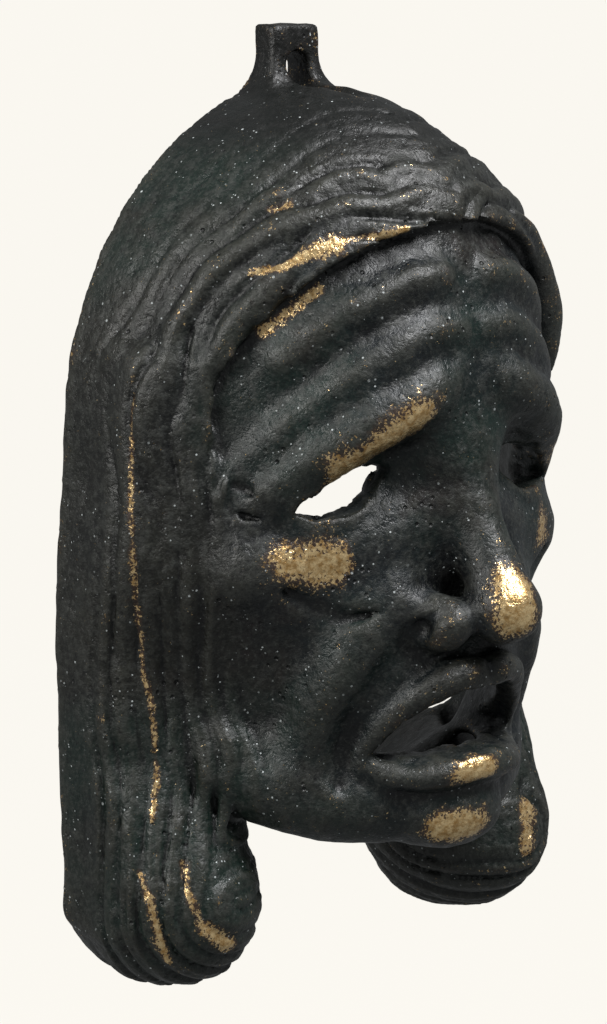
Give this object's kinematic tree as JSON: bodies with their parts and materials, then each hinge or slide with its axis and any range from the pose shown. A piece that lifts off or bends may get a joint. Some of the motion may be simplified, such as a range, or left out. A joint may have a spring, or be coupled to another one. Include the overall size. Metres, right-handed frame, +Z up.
{
  "type": "greek theatre mask",
  "caption": "Hollow cast-brass wall mask of Greek tragedy, with pierced eyes and mouth, parted hair, long side tresses ending in scrolls, and a slotted hanging lug.",
  "frame": {"origin": "where the nail bears: the top of the lug's slot, halfway through the lug's thickness", "axes": "+X towards the mask's own left, -Y the way the face looks, +Z up; the flat back faces +Y"},
  "size_m": [0.1252, 0.079, 0.2036],
  "materials": {
    "patinated_brass": "cast brass under a dark green-black patina, rubbed through to bare metal on the high spots"
  },
  "bodies": {
    "root": {"theatre_mask": "patinated_brass"}
  },
  "joints": []
}
